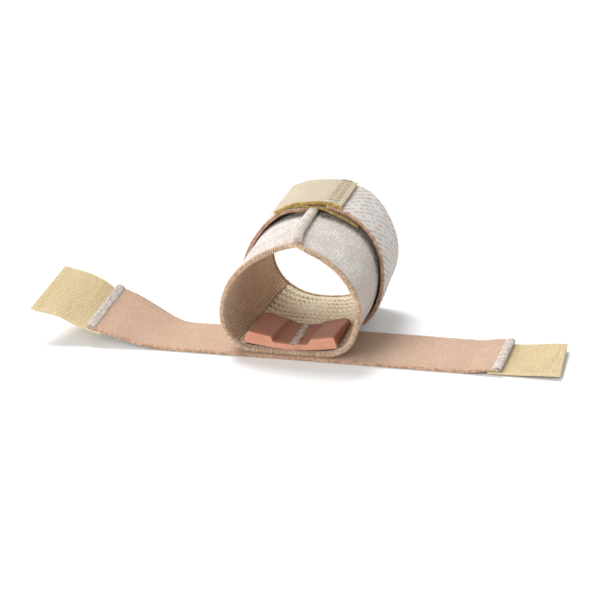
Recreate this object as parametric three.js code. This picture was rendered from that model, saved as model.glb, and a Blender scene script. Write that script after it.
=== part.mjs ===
// Wrist support: an elastic sleeve with a knitted underside and a shaped pressure pad inside it.
// Two elastic straps are sewn under the sleeve. The near one lies open, the far one is wrapped and closed.
// Millimetres, +Z up. X runs along the open strap, Y along the sleeve, Z = 0 is the surface it lies on,
// and the origin is in the middle of the open strap's flat underside.
import * as THREE from 'three';

// Fit and general clearance between touching pieces
const clearance = 0.3;

// Sleeve
const sleeveWidth = 59.8;
const sleeveHeight = 49;
const sleeveLength = 74;
const sleeveWall = 1.6;
const sleeveMiddle = 38;          // from the near edge to the middle section
const panelWidth = 45;            // knitted strip along the underside

// Rolled seam allowance along the top of the sleeve
const ridgeWidth = 2.9;
const ridgeHeight = 1.8;          // under the closed strap
const ridgeNearHeight = 1.1;      // at the near edge, where the edging pinches it
const ridgeInset = 1;             // short of each end of the sleeve
const ridgeDrift = 1.3;           // it swings this far to the left of the seam line
const ridgeDriftRun = 12;         // over this run from the near edge
const ridgeSpread = 80;           // degrees of its round back to each side

// Elastic straps
const strapWidth = 38;
const strapThickness = 1.8;
const strapPressed = 1.4;         // where a tab is sewn on
const strapsApart = 2;
const strapProud = 1.3;           // near edge of the open strap in front of the sleeve
const raisedHalf = 88.5;          // from its middle to the raised end
const flatHalf = 89.9;            // from its middle to the flat end
const flatRunUp = 9;              // over which the flat end rises onto its own tab
const flatEndLift = 0.5;          // at the flat end's hem
const hemLength = 4.6;
const hemRoll = 1.3;              // folded end standing on the inner face
const hemEdge = 0.35;             // share of the fold's height squared at its very end
const hemShoulder = 0.6;          // run from the top of the fold down to the strap
const curlHeight = 22.6;          // far corner of the raised end
const tipSkew = 5;                // far corner of the raised end short of the near one
const flatTipSkew = 2.4;          // the same at the flat end's tab
const edgeDraw = 5;               // far edge drawn in where the strap turns up
const wrapRise = 4.3;             // most that the closed strap stands off the sleeve
const wrapEnd = 3.4;              // each end of the closed strap stops this far from the seam

// Hook tabs sewn on the outer face of each strap end
const tabWidth = 36.5;
const tabThickness = 1.0;
const tabLap = 6;
const tabFree = 24.5;
const tabSettle = 3.6;            // run over which a tab comes down past the end of a layer below
const tabTipLift = 1.4;           // near corner of the flat end's tab
const tabFarTipLift = 2.4;
const underTabThickness = 0.9;
const underTabFree = 22;          // from the left strap end, over the ridge and down beside it
const topTabFree = 20.6;          // from the right strap end to the left, round the top

// Pressure pad
const padWidth = 39.8;
const padLength = 32.5;
const padInset = 0.5;
const padFloor = 1.5;             // at the bottom of the channel
const padBlockInner = 5.2;        // block height over the pad's lowest line, beside the channel
const padBlockOuter = 7.3;        // the same at the pad's sides
const padFarInner = 1.2;
const padFarOuter = 4.6;
const padFlare = 1.6;             // side walls lean out towards the base
const padVee = 2.2;               // underside rises this much from the middle to the sides, at the near edge
const padVeeFar = 3.1;            // and at the far edge
const padVeePower = 1.6;          // flat in the middle, steeper towards the sides
const padSideHeight = 1.2;        // at the foot of the side walls
const channelWidth = 15;
const channelWallRun = 0.9;
const channelDish = 1.8;          // channel floor rises this much to its walls, at the near edge
const padCornerRound = 4;
const padCornerFullness = 0.9;    // below 1 so that the far corners keep a short straight end
const padCornerRows = [0.6, 0.85, 1];   // shares of the corner round

// Outline stations of the sleeve from the middle of the underside, round to the right, over the seam and
// down the left. Each pair is a share of half the width and a share of the height.
const stations = [
  { near: [0.02, 0.00], middle: [0.02, 0.00], far: [0.03, 0.00] },
  { near: [0.37, 0.00], middle: [0.385, 0.002], far: [0.32, 0.02] },
  { near: [0.635, 0.018], middle: [0.66, 0.043], far: [0.57, 0.084] },
  { near: [0.853, 0.106], middle: [0.863, 0.161], far: [0.776, 0.18] },
  { near: [0.967, 0.273], middle: [0.96, 0.33], far: [0.896, 0.314] },
  { near: [0.997, 0.457], middle: [0.983, 0.508], far: [0.943, 0.467] },
  { near: [0.923, 0.602], middle: [0.943, 0.682], far: [0.91, 0.63] },
  { near: [0.716, 0.778], middle: [0.796, 0.843], far: [0.753, 0.82] },
  { near: [0.468, 0.892], middle: [0.552, 0.947], far: [0.532, 0.94] },
  { near: [0.25, 0.955], middle: [0.30, 1.00], far: [0.30, 0.986] },
  { near: [0.097, 1.00], middle: [0.084, 1.018], far: [0.084, 0.998] },
  { near: [-0.10, 0.973], middle: [-0.167, 0.998], far: [-0.167, 0.99] },
  { near: [-0.381, 0.898], middle: [-0.401, 0.945], far: [-0.40, 0.955] },
  { near: [-0.652, 0.786], middle: [-0.645, 0.835], far: [-0.642, 0.867] },
  { near: [-0.876, 0.631], middle: [-0.836, 0.663], far: [-0.815, 0.69] },
  { near: [-0.987, 0.457], middle: [-0.933, 0.471], far: [-0.863, 0.488] },
  { near: [-1.00, 0.259], middle: [-0.923, 0.267], far: [-0.833, 0.304] },
  { near: [-0.87, 0.10], middle: [-0.80, 0.104], far: [-0.686, 0.157] },
  { near: [-0.635, 0.008], middle: [-0.585, 0.016], far: [-0.468, 0.057] },
  { near: [-0.318, 0.00], middle: [-0.30, 0.00], far: [-0.217, 0.008] },
];
const seamTurn = 0.5;

// How far the closed strap stands off the sleeve on each side, from the underside up to its ends,
// as shares of wrapRise.
const standOff = [
  { right: 0.00, left: 0.00 },
  { right: 0.02, left: 0.00 },
  { right: 0.05, left: 0.02 },
  { right: 0.10, left: 0.04 },
  { right: 0.18, left: 0.04 },
  { right: 0.20, left: 0.05 },
  { right: 0.22, left: 0.06 },
  { right: 0.33, left: 0.14 },
  { right: 0.60, left: 0.38 },
  { right: 0.73, left: 0.33 },
  { right: 0.73, left: 0.26 },
];

// The raised end of the open strap, as shares: out of the reach from the strap's middle to the tab's tip,
// near and far of curlHeight at the two edges, skew of tipSkew and draw of edgeDraw.
const curl = [
  { out: 0.00, near: 0.000, far: 0.000, skew: 0.00, draw: 0.00 },
  { out: 0.15, near: 0.000, far: 0.000, skew: 0.00, draw: 0.30 },
  { out: 0.30, near: 0.000, far: 0.000, skew: 0.00, draw: 0.75 },
  { out: 0.40, near: 0.000, far: 0.000, skew: 0.00, draw: 1.00 },
  { out: 0.478, near: 0.002, far: 0.012, skew: 0.08, draw: 0.90 },
  { out: 0.54, near: 0.022, far: 0.08, skew: 0.20, draw: 0.50 },
  { out: 0.602, near: 0.084, far: 0.21, skew: 0.34, draw: 0.20 },
  { out: 0.673, near: 0.181, far: 0.363, skew: 0.48, draw: 0.00 },
  { out: 0.748, near: 0.279, far: 0.518, skew: 0.62, draw: 0.00 },
  { out: 0.783, near: 0.332, far: 0.61, skew: 0.68, draw: 0.00 },
  { out: 0.832, near: 0.412, far: 0.765, skew: 0.76, draw: 0.00 },
  { out: 0.898, near: 0.549, far: 0.89, skew: 0.88, draw: 0.00 },
  { out: 0.969, near: 0.611, far: 0.965, skew: 0.96, draw: 0.00 },
  { out: 1.00, near: 0.646, far: 1.000, skew: 1.00, draw: 0.00 },
];

// Worked out from the driving sizes
const strapNear = -strapWidth / 2;
const sleeveNear = strapNear + strapProud;
const sleeveFar = sleeveNear + sleeveLength;
const wrapNear = strapWidth / 2 + strapsApart;
const wrapFar = wrapNear + strapWidth;
const sleeveBase = strapThickness + clearance;
const raisedReach = raisedHalf + tabFree;
const flatReach = flatHalf + tabFree;
const ridgeTop = clearance + ridgeHeight;

// 0 before the first value, 1 past the second, and a smooth rise between them
function ease(value, from, to) {
  const share = Math.min(1, Math.max(0, (value - from) / (to - from)));
  return share * share * (3 - 2 * share);
}

function mix(a, b, share) {
  return a + (b - a) * share;
}

// Smooth value between the rows before and after, from four neighbouring values
function blendFour(a, b, c, d, share) {
  const slopeIn = (c - a) / 2;
  const slopeOut = (d - b) / 2;
  const square = share * share;
  const cube = square * share;
  return b * (2 * cube - 3 * square + 1) + slopeIn * (cube - 2 * square + share)
    + c * (3 * square - 2 * cube) + slopeOut * (cube - square);
}

function steps(from, to, count) {
  return Array.from({ length: count + 1 }, (_, step) => mix(from, to, step / count));
}

// Point on one of the sleeve's three measured outlines at a share of a turn
function sectionPoint(section, turn) {
  const place = (turn - Math.floor(turn)) * stations.length;
  const first = Math.floor(place);
  const pick = (offset, axis) => {
    const row = stations[(first + offset + stations.length) % stations.length];
    return row[section][axis];
  };
  const value = (axis) => blendFour(pick(-1, axis), pick(0, axis), pick(1, axis), pick(2, axis), place - first);
  return new THREE.Vector2(value(0) * sleeveWidth / 2, sleeveBase + Math.max(0, value(1)) * sleeveHeight);
}

// Outer outline of the sleeve at any place along it
function outlinePoint(turn, y) {
  const along = Math.min(sleeveLength, Math.max(0, y - sleeveNear));
  if (along < sleeveMiddle) {
    const share = Math.sin((Math.PI / 2) * (along / sleeveMiddle));
    return sectionPoint('near', turn).lerp(sectionPoint('middle', turn), share);
  }
  const share = 1 - Math.cos((Math.PI / 2) * ((along - sleeveMiddle) / (sleeveLength - sleeveMiddle)));
  return sectionPoint('middle', turn).lerp(sectionPoint('far', turn), share);
}

// Point at a lift outward from the sleeve's outer face; a negative lift goes into the wall
function liftedPoint(turn, y, lift) {
  const reach = 0.004;
  const centre = outlinePoint(turn, y);
  const ahead = outlinePoint(turn + reach, y).sub(outlinePoint(turn - reach, y)).normalize();
  return new THREE.Vector3(centre.x + ahead.y * lift, y, centre.y - ahead.x * lift);
}

// Share of a turn at a distance along the sleeve's middle outline from a starting turn
function turnAt(startTurn, distance) {
  const middle = sleeveNear + sleeveMiddle;
  const direction = Math.sign(distance) || 1;
  const stride = 0.0005;
  let turn = startTurn;
  let travelled = 0;
  while (travelled < Math.abs(distance)) {
    const from = outlinePoint(turn, middle);
    travelled += from.distanceTo(outlinePoint(turn + direction * stride, middle));
    turn += direction * stride;
  }
  return turn;
}

// Place on the girth at a distance to the right of the seam, negative to its left
function besideSeam(distance) {
  return turnAt(seamTurn, -distance);
}

// Closed slab between an upper and a lower surface over columns and rows.
// Columns run to the right and rows away from the viewer when the upper face is seen from above.
function slab(columns, rows, upper, lower) {
  const across = columns.length;
  const down = rows.length;
  const points = [];
  for (const surface of [upper, lower]) {
    for (const row of rows) {
      for (const column of columns) points.push(...surface(column, row).toArray());
    }
  }
  const top = (i, j) => j * across + i;
  const under = (i, j) => across * down + j * across + i;
  const faces = [];
  const quad = (a, b, c, d) => faces.push(a, b, c, a, c, d);
  for (let j = 0; j < down - 1; j += 1) {
    for (let i = 0; i < across - 1; i += 1) {
      quad(top(i, j), top(i + 1, j), top(i + 1, j + 1), top(i, j + 1));
      quad(under(i, j), under(i, j + 1), under(i + 1, j + 1), under(i + 1, j));
    }
  }
  for (let i = 0; i < across - 1; i += 1) {
    quad(top(i, 0), under(i, 0), under(i + 1, 0), top(i + 1, 0));
    quad(top(i + 1, down - 1), under(i + 1, down - 1), under(i, down - 1), top(i, down - 1));
  }
  for (let j = 0; j < down - 1; j += 1) {
    quad(top(0, j + 1), under(0, j + 1), under(0, j), top(0, j));
    quad(top(across - 1, j), under(across - 1, j), under(across - 1, j + 1), top(across - 1, j + 1));
  }
  const geometry = new THREE.BufferGeometry();
  geometry.setAttribute('position', new THREE.Float32BufferAttribute(points, 3));
  geometry.setIndex(faces);
  return geometry;
}

// A layer that follows the sleeve, between two lifts given at each turn and place
function wrappedLayer(turns, rows, innerLift, outerLift) {
  const face = (lift) => (turn, y) => liftedPoint(turn, y, lift(turn, y));
  return slab(turns, rows, face(innerLift), face(outerLift));
}

function piece(name, geometry, colour, roughness) {
  geometry.computeVertexNormals();
  const material = new THREE.MeshStandardMaterial({ color: colour, roughness, metalness: 0 });
  const mesh = new THREE.Mesh(geometry, material);
  mesh.name = name;
  return mesh;
}

// Elastic sleeve from the right side of the knitted strip over the top to its left side
function sleeve() {
  const from = turnAt(0, panelWidth / 2 + clearance / 2);
  const to = 1 + turnAt(0, -(panelWidth + clearance) / 2);
  return wrappedLayer(steps(from, to, 64), steps(sleeveNear, sleeveFar, 14), () => -sleeveWall, () => 0);
}

// Knitted strip along the underside
function knitPanel() {
  const half = (panelWidth - clearance) / 2;
  const turns = steps(turnAt(0, -half), turnAt(0, half), 18);
  return wrappedLayer(turns, steps(sleeveNear, sleeveFar, 14), () => -sleeveWall, () => 0);
}

// Height of the rolled seam allowance: low at the near edge and full where the strap crosses it
function ridgeHeightAt(y) {
  return mix(ridgeNearHeight, ridgeHeight, ease(y, sleeveNear, wrapNear));
}

// Distance of the ridge's middle beside the seam line
function ridgeSide(y) {
  return -ridgeDrift * ease(y, sleeveNear, sleeveNear + ridgeDriftRun);
}

function seamRidge() {
  const angles = steps(-ridgeSpread, ridgeSpread, 8).map(THREE.MathUtils.degToRad);
  const rows = steps(sleeveNear + ridgeInset, sleeveFar - ridgeInset, 14);
  const turnOf = (angle, y) => besideSeam(ridgeSide(y) + Math.sin(angle) * ridgeWidth / 2);
  const back = (angle, y) => liftedPoint(turnOf(angle, y), y, clearance + ridgeHeightAt(y) * Math.cos(angle));
  const foot = (angle, y) => liftedPoint(turnOf(angle, y), y, clearance);
  return slab(angles, rows, back, foot);
}

// Lift of the closed strap's inner face
function wrapLift(turn) {
  const side = turn < seamTurn ? 'right' : 'left';
  const fromBottom = Math.min(turn, 1 - turn) / seamTurn;
  const place = Math.min(Math.max(fromBottom, 0), 1) * (standOff.length - 1);
  const first = Math.min(Math.floor(place), standOff.length - 2);
  const row = (offset) => standOff[Math.min(Math.abs(first + offset), standOff.length - 1)][side];
  return clearance + wrapRise * blendFour(row(-1), row(0), row(1), row(2), place - first);
}

const wrapRightEnd = besideSeam(wrapEnd);
const wrapLeftEnd = besideSeam(-wrapEnd);
const wrapRightLap = besideSeam(wrapEnd + tabLap);
const wrapLeftLap = besideSeam(-wrapEnd - tabLap);

// The straps thin towards an end where a tab is sewn on
function wrapThickness(turn) {
  const pressed = Math.max(
    ease(turn, besideSeam(wrapEnd + 2 * tabLap), wrapRightLap),
    ease(-turn, -besideSeam(-wrapEnd - 2 * tabLap), -wrapLeftLap),
  );
  return mix(strapThickness, strapPressed, pressed);
}

function wrapOuterLift(turn) {
  return wrapLift(turn) + wrapThickness(turn);
}

function closedStrap() {
  const turns = steps(wrapLeftEnd - 1, wrapRightEnd, 84);
  const round = (turn) => (turn < 0 ? turn + 1 : turn);
  const inner = (turn) => wrapLift(round(turn));
  const outer = (turn) => wrapOuterLift(round(turn));
  return wrappedLayer(turns, steps(wrapNear, wrapFar, 6), inner, outer);
}

const wrapTabNear = wrapNear + (strapWidth - tabWidth) / 2;
const wrapTabRows = steps(wrapTabNear, wrapTabNear + tabWidth, 4);

// Lift of the tab that runs from the left strap end over the ridge and under the right strap end
function underTabLift(turn) {
  if (turn > wrapLeftEnd) return wrapOuterLift(turn) + clearance;
  const lap = wrapOuterLift(wrapLeftEnd) + clearance;
  const overRidge = ridgeTop + clearance;
  const nested = 2 * clearance;
  const ridgeLeft = besideSeam(-ridgeDrift - ridgeWidth / 2);
  const settled = besideSeam(wrapEnd + 2 * tabLap);
  const dropped = mix(overRidge, lap, ease(turn, ridgeLeft, wrapLeftEnd));
  return mix(nested, dropped, ease(turn, settled, seamTurn));
}

function closedUnderTab() {
  const turns = steps(besideSeam(underTabFree - wrapEnd), wrapLeftLap, 24);
  const outer = (turn) => underTabLift(turn) + underTabThickness;
  return wrappedLayer(turns, wrapTabRows, underTabLift, outer);
}

// Lift of the outermost tab, which runs over everything else at the top
function topTabLift(turn) {
  const overStrap = wrapOuterLift(turn) + clearance;
  const overTab = overStrap + underTabThickness + clearance;
  if (turn >= wrapLeftEnd) {
    return mix(overTab, overStrap, ease(turn, wrapLeftLap, besideSeam(-wrapEnd - tabLap - tabSettle)));
  }
  if (turn <= wrapRightEnd) return overStrap;
  const left = wrapOuterLift(wrapLeftEnd) + underTabThickness + 2 * clearance;
  const right = wrapOuterLift(wrapRightEnd) + clearance;
  return mix(right, left, ease(turn, wrapRightEnd, wrapLeftEnd));
}

function closedTopTab() {
  const turns = steps(wrapRightLap, besideSeam(wrapEnd - topTabFree), 24);
  const outer = (turn) => topTabLift(turn) + tabThickness;
  return wrappedLayer(turns, wrapTabRows, topTabLift, outer);
}

// Row of the curl table at a share of the reach
function curlAt(out) {
  const last = curl.length - 1;
  let first = 0;
  while (first < last - 1 && curl[first + 1].out < out) first += 1;
  const share = (out - curl[first].out) / (curl[first + 1].out - curl[first].out);
  const column = (name) => {
    const row = (offset) => curl[Math.min(Math.max(first + offset, 0), last)][name];
    return blendFour(row(-1), row(0), row(1), row(2), share);
  };
  return {
    near: Math.max(0, column('near')) * curlHeight,
    far: Math.max(0, column('far')) * curlHeight,
    skew: column('skew') * tipSkew,
    draw: column('draw') * edgeDraw,
  };
}

// Point on the open strap's underside. Across runs from 0 at the near edge to 1 at the far edge.
function openUnderside(x, across) {
  const y = strapNear + across * strapWidth;
  if (x < 0) {
    const bend = curlAt(Math.min(-x / raisedReach, 1));
    return new THREE.Vector3(x + bend.skew * across, y - bend.draw * across, mix(bend.near, bend.far, across));
  }
  const lapStart = flatHalf - tabLap;
  const overTab = (tabThickness + clearance) * ease(x, lapStart - flatRunUp, lapStart);
  const atHem = flatEndLift * ease(x, lapStart - flatRunUp, flatHalf);
  const towardsTip = ease(x, flatHalf, flatReach);
  const tip = mix(tabTipLift, tabFarTipLift, across) - flatEndLift;
  return new THREE.Vector3(x - flatTipSkew * across * towardsTip, y, overTab + atHem + tip * towardsTip);
}

function raised(point, height) {
  return point.setZ(point.z + height);
}

// Distance from the open strap's middle to its end on the side that x is on
function halfAt(x) {
  return x < 0 ? raisedHalf : flatHalf;
}

// Thickness of the open strap, with the end folded onto its inner face
function openThickness(x) {
  const fromEnd = halfAt(x) - Math.abs(x);
  const plain = mix(strapPressed, strapThickness, ease(fromEnd, tabLap, 2 * tabLap));
  const roundEnd = Math.sqrt(Math.min(1, hemEdge + fromEnd / hemLength));
  const shoulder = 1 - ease(fromEnd, hemLength, hemLength + hemShoulder);
  return plain + hemRoll * (fromEnd < hemLength ? roundEnd : shoulder);
}

function openStrap() {
  const shoulder = hemLength + hemShoulder;
  const side = (half) => [...steps(0, half - shoulder, 22), ...steps(half - hemLength, half, 5)];
  const columns = [...side(raisedHalf).slice(1).reverse().map((x) => -x), ...side(flatHalf)];
  const upper = (x, across) => raised(openUnderside(x, across), openThickness(x));
  return slab(columns, steps(0, 1, 6), upper, openUnderside);
}

// Tab under one end of the open strap; side is -1 on the left and 1 on the right
function openTab(side) {
  const half = halfAt(side);
  const columns = steps(side * (half - tabLap), side * (half + tabFree), 14).sort((a, b) => a - b);
  const inset = (strapWidth - tabWidth) / 2 / strapWidth;
  const rows = steps(inset, 1 - inset, 4);
  const upper = (x, across) => raised(openUnderside(x, across), -clearance);
  const lower = (x, across) => raised(openUnderside(x, across), -clearance - tabThickness);
  return slab(columns, rows, upper, lower);
}

// Pressure pad: two blocks with a channel between them, sloping down towards its far edge
function pressurePad() {
  const half = padWidth / 2;
  const base = sleeveBase + sleeveWall + clearance;
  const channel = channelWidth / 2;
  const bends = [half, half - padFlare, half - 2 * padFlare, (half + channel) / 2, channel + channelWallRun, channel,
    channel / 2];
  const columns = [...bends.map((x) => -x), 0, ...bends.slice().reverse()];
  const near = sleeveNear + padInset;
  const far = near + padLength;
  const cornerRows = padCornerRows.map((share) => far - padCornerRound * (1 - share));
  const rows = [...steps(near, far - padCornerRound, 9), ...cornerRows];
  const narrowing = (y) => {
    const intoCorner = Math.max(0, y - (far - padCornerRound)) / padCornerRound;
    return 1 - (padCornerRound / half) * (1 - Math.sqrt(1 - padCornerFullness * intoCorner * intoCorner));
  };
  const vee = (y) => mix(padVee, padVeeFar, (y - near) / padLength);
  const underside = (x, y) => base + vee(y) * Math.abs(x / half) ** padVeePower;
  const blockTop = (x, y) => {
    const side = Math.max(0, Math.abs(x) - channel) / (half - channel);
    const front = mix(padBlockInner, padBlockOuter, side);
    const back = mix(padFarInner, padFarOuter, (x / half) ** 2);
    return base + mix(front, back, (y - near) / padLength);
  };
  const floorTop = (x, y) => {
    const front = padFloor + channelDish * Math.abs(x / channel);
    const back = mix(padFarInner, padFarOuter, (x / half) ** 2);
    return base + mix(front, back, (y - near) / padLength);
  };
  const top = (x, y) => {
    if (Math.abs(x) <= channel) return floorTop(x, y);
    if (Math.abs(x) >= half) return underside(x, y) + padSideHeight;
    return blockTop(x, y);
  };
  const upper = (x, y) => new THREE.Vector3(x * narrowing(y), y, top(x, y));
  const lower = (x, y) => new THREE.Vector3(x * narrowing(y), y, underside(x, y));
  return slab(columns, rows, upper, lower);
}

const wristSupport = new THREE.Group();
wristSupport.add(
  piece('sleeve', sleeve(), 0xb79a80, 0.95),
  piece('knit_panel', knitPanel(), 0xe6dcc0, 0.95),
  piece('seam_ridge', seamRidge(), 0xd8cfc6, 0.95),
  piece('pressure_pad', pressurePad(), 0xb5704f, 0.55),
  piece('open_strap', openStrap(), 0xd9b093, 0.95),
  piece('closed_strap', closedStrap(), 0xd6cfc9, 0.95),
  piece('open_left_hook_tab', openTab(-1), 0xe9d9a8, 0.85),
  piece('open_right_hook_tab', openTab(1), 0xe9d9a8, 0.85),
  piece('closed_under_hook_tab', closedUnderTab(), 0xc9ab68, 0.85),
  piece('closed_top_hook_tab', closedTopTab(), 0xe4d4b2, 0.85),
);

export default wristSupport;
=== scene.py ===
"""Looks of an elastic wrist support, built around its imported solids.

Shapes are worked out in millimetres in the row frame, from the same sizes and tables as the solids, and
turned into metres when a piece is made. X runs along the open strap, Y along the sleeve, +Z is up.
"""

import math

import bmesh
import bpy
import numpy as np
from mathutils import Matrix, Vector


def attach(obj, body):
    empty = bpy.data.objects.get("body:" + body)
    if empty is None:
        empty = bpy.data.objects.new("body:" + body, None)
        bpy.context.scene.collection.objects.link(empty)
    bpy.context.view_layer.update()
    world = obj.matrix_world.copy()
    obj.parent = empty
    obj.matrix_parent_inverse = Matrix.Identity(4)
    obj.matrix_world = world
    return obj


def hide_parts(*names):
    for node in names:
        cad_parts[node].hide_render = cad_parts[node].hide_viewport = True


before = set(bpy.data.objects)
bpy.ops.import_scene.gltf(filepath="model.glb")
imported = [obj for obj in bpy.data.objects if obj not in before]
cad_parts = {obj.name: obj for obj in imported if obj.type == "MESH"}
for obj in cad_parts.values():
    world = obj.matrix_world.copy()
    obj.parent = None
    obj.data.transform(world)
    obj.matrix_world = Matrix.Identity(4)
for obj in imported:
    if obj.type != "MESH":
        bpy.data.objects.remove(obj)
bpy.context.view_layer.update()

MM = 0.001
CLEARANCE = 0.3

# Sleeve and its knitted strip
SLEEVE_WIDTH = 59.8
SLEEVE_HEIGHT = 49
SLEEVE_LENGTH = 74
SLEEVE_WALL = 1.6
SLEEVE_MIDDLE = 38
PANEL_WIDTH = 45
RIB_PITCH = 1.25
RIB_DEPTH = 0.3
VELOUR_RIPPLE = 0.12
KNIT_ROW = 4.7
KNIT_WAVE = 2.4
KNIT_WAVE_SWING = 1.35
KNIT_DEPTH = 1.2
KNIT_BLOCK = 11
KNIT_GAP = 0.72
KNIT_YARN_RADIUS = 0.9

# Rolled seam allowance
RIDGE_WIDTH = 3.1
RIDGE_HEIGHT = 1.8
ROLL_WIDTH = 4.2
ROLL_HEIGHT = 3.0
ROLL_NEAR_HEIGHT = 2.3
RIDGE_DRIFT = 1.3
RIDGE_DRIFT_RUN = 12
RIDGE_INSET = 1

# Overlocked edges of the sleeve
LOOP_PITCH = 0.88
LOOP_REACH = 1.15
LOOP_SLANT = 0.35
LOOP_STANDS = 0.12
YARN_RADIUS = 0.28

# Straps
STRAP_WIDTH = 38
STRAP_THICKNESS = 1.8
STRAP_PRESSED = 1.4
STRAPS_APART = 2
STRAP_PROUD = 1.3
RAISED_HALF = 88.5
FLAT_HALF = 89.9
FLAT_RUN_UP = 9
FLAT_END_LIFT = 0.5
HEM_LENGTH = 4.6
HEM_ROLL = 1.3
HEM_SEEN = 3.7
CURL_HEIGHT = 22.6
TIP_SKEW = 5
FLAT_TIP_SKEW = 2.4
EDGE_DRAW = 5
WRAP_RISE = 4.3
WRAP_END = 3.4
BEAD_PITCH = 1.15
BEAD_RADIUS = 0.27
BEAD_BULGE = 0.3

# Hook tabs
TAB_WIDTH = 36.5
TAB_THICKNESS = 1.0
TAB_LAP = 6
TAB_FREE = 24.5
TAB_SETTLE = 3.6
TAB_TIP_LIFT = 1.4
TAB_FAR_TIP_LIFT = 2.4
TAPE_EVENS = 3
TAPE_DROP = 0.6
UNDER_TAB_THICKNESS = 0.9
UNDER_TAB_FREE = 22
TOP_TAB_FREE = 20.6
HOOK_PITCH = 1.0
HOOK_HEIGHT = 0.4
FRINGE_PITCH = 0.95
FRINGE_LENGTH = 2.2
FRINGE_END = 0.6

# Pressure pad
PAD_WIDTH = 39.8
PAD_LENGTH = 32.5
PAD_INSET = 0.5
PAD_FLOOR = 2.3
PAD_BLOCK_INNER = 5.2
PAD_BLOCK_OUTER = 7.3
PAD_FAR_INNER = 1.2
PAD_FAR_OUTER = 4.6
PAD_FAR_STEP = 0.5
PAD_FLARE = 1.6
PAD_VEE = 2.2
PAD_VEE_FAR = 3.1
PAD_VEE_POWER = 1.6
PAD_SIDE_HEIGHT = 1.2
PAD_EDGE_ROUND = 0.8
CHANNEL_WIDTH = 15
CHANNEL_WALL_RUN = 0.9
CHANNEL_DISH = 0.7
PAD_CORNER_ROUND = 4
PAD_CORNER_FULLNESS = 0.9

# Outline stations of the sleeve from the middle of the underside, round to the right, over the seam and
# down the left: pairs of a share of half the width and a share of the height.
STATIONS = {
    "near": [
        (0.02, 0.00), (0.37, 0.00), (0.635, 0.018), (0.853, 0.106), (0.967, 0.273), (0.997, 0.457),
        (0.923, 0.602), (0.716, 0.778), (0.468, 0.892), (0.25, 0.955), (0.097, 1.00), (-0.10, 0.973),
        (-0.381, 0.898), (-0.652, 0.786), (-0.876, 0.631), (-0.987, 0.457), (-1.00, 0.259),
        (-0.87, 0.10), (-0.635, 0.008), (-0.318, 0.00),
    ],
    "middle": [
        (0.02, 0.00), (0.385, 0.002), (0.66, 0.043), (0.863, 0.161), (0.96, 0.33), (0.983, 0.508),
        (0.943, 0.682), (0.796, 0.843), (0.552, 0.947), (0.30, 1.00), (0.084, 1.018), (-0.167, 0.998),
        (-0.401, 0.945), (-0.645, 0.835), (-0.836, 0.663), (-0.933, 0.471), (-0.923, 0.267),
        (-0.80, 0.104), (-0.585, 0.016), (-0.30, 0.00),
    ],
    "far": [
        (0.03, 0.00), (0.32, 0.02), (0.57, 0.084), (0.776, 0.18), (0.896, 0.314), (0.943, 0.467),
        (0.91, 0.63), (0.753, 0.82), (0.532, 0.94), (0.30, 0.986), (0.084, 0.998), (-0.167, 0.99),
        (-0.40, 0.955), (-0.642, 0.867), (-0.815, 0.69), (-0.863, 0.488), (-0.833, 0.304),
        (-0.686, 0.157), (-0.468, 0.057), (-0.217, 0.008),
    ],
}
SEAM_TURN = 0.5

# How far the closed strap stands off the sleeve, from the underside up to its ends, as shares of WRAP_RISE
STAND_OFF = {
    "right": [0.00, 0.02, 0.05, 0.10, 0.18, 0.20, 0.22, 0.33, 0.60, 0.73, 0.73],
    "left": [0.00, 0.00, 0.02, 0.04, 0.04, 0.05, 0.06, 0.14, 0.38, 0.33, 0.26],
}

# The raised end of the open strap, as shares: out of the reach, near and far of the curl's height at the
# two edges, skew of the tip's skew and draw of the far edge's draw.
CURL = {
    "out": [0.00, 0.15, 0.30, 0.40, 0.478, 0.54, 0.602, 0.673, 0.748, 0.783, 0.832, 0.898, 0.969, 1.00],
    "near": [0, 0, 0, 0, 0.002, 0.022, 0.084, 0.181, 0.279, 0.332, 0.412, 0.549, 0.611, 0.646],
    "far": [0, 0, 0, 0, 0.012, 0.08, 0.21, 0.363, 0.518, 0.61, 0.765, 0.89, 0.965, 1.00],
    "skew": [0, 0, 0, 0, 0.08, 0.20, 0.34, 0.48, 0.62, 0.68, 0.76, 0.88, 0.96, 1.00],
    "draw": [0, 0.30, 0.75, 1.00, 0.90, 0.50, 0.20, 0, 0, 0, 0, 0, 0, 0],
}

# Worked out from the driving sizes
STRAP_NEAR = -STRAP_WIDTH / 2
SLEEVE_NEAR = STRAP_NEAR + STRAP_PROUD
SLEEVE_FAR = SLEEVE_NEAR + SLEEVE_LENGTH
WRAP_NEAR = STRAP_WIDTH / 2 + STRAPS_APART
WRAP_FAR = WRAP_NEAR + STRAP_WIDTH
SLEEVE_BASE = STRAP_THICKNESS + CLEARANCE
RAISED_REACH = RAISED_HALF + TAB_FREE
FLAT_REACH = FLAT_HALF + TAB_FREE
TAB_INSET = (STRAP_WIDTH - TAB_WIDTH) / 2

# Camera and light
CAMERA_AZIMUTH = 12.7067
CAMERA_ELEVATION = 18.9855
CAMERA_DISTANCE = 1364.617
CAMERA_LENS = 196.65
CAMERA_SENSOR = 36
LOOK_AT = (4.2986, -17.7, 26.735)
ROOM_LIGHT = 0.52
FLOOR_HALF = 4

chance = np.random.default_rng(11)


# Shapes shared with the solids
def ease(value, start, end):
    """0 before start, 1 past end and a smooth rise between them."""
    share = np.clip((value - start) / (end - start), 0, 1)
    return share * share * (3 - 2 * share)


def mix(first, second, share):
    return first + (second - first) * share


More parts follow.
